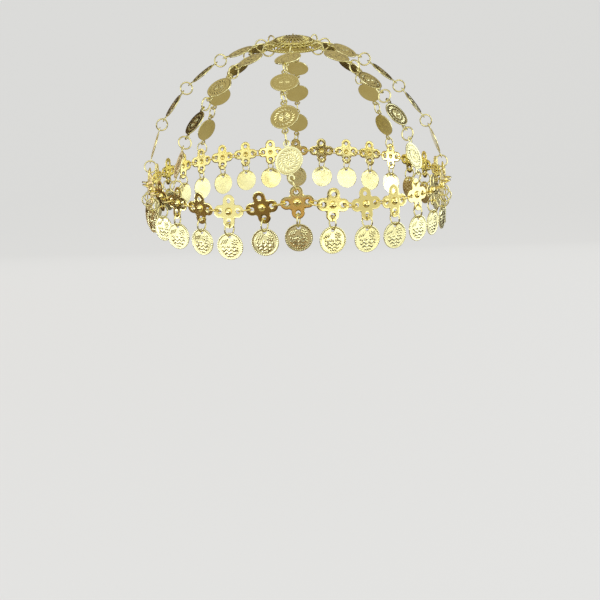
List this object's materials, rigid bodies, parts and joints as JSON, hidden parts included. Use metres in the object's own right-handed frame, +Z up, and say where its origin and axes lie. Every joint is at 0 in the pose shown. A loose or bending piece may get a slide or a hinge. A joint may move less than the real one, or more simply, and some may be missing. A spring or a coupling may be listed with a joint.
{
  "type": "coin head chain",
  "caption": "Worn head chain: strands of eared coins run from a pierced domed crown plate to a closed band of four-lobed plates hung with round coins.",
  "frame": {"origin": "under the middle of the crown plate, where it rests on top of the head", "axes": "+Z up, front of the head towards -Y, +X to the viewer's right"},
  "size_m": [0.1822, 0.197, 0.1107],
  "materials": {
    "crown": "gold-plated, polished, pierced",
    "coin": "gold-plated, stamped relief, polished",
    "plate": "gold-plated, polished flat sheet"
  },
  "bodies": {
    "root": {"crown_plate": "crown", "strand_front": "coin", "strand_front_right": "coin", "strand_right": "coin", "strand_back_right": "coin", "strand_back": "coin", "strand_back_left": "coin", "strand_left": "coin", "strand_front_left": "coin", "band_front": "plate", "band_front_right": "plate", "band_right": "plate", "band_back_right": "plate", "band_back": "plate", "band_back_left": "plate", "band_left": "plate", "band_front_left": "plate", "drop_01": "coin", "drop_02": "coin", "drop_03": "coin", "drop_04": "coin", "drop_05": "coin", "drop_06": "coin", "drop_07": "coin", "drop_08": "coin", "drop_09": "coin", "drop_10": "coin", "drop_11": "coin", "drop_12": "coin", "drop_13": "coin", "drop_14": "coin", "drop_15": "coin", "drop_16": "coin", "drop_17": "coin", "drop_18": "coin", "drop_19": "coin", "drop_20": "coin", "drop_21": "coin", "drop_22": "coin", "drop_23": "coin", "drop_24": "coin", "drop_25": "coin", "drop_26": "coin", "drop_27": "coin", "drop_28": "coin", "drop_29": "coin", "drop_30": "coin", "drop_31": "coin", "drop_32": "coin"}
  },
  "joints": []
}
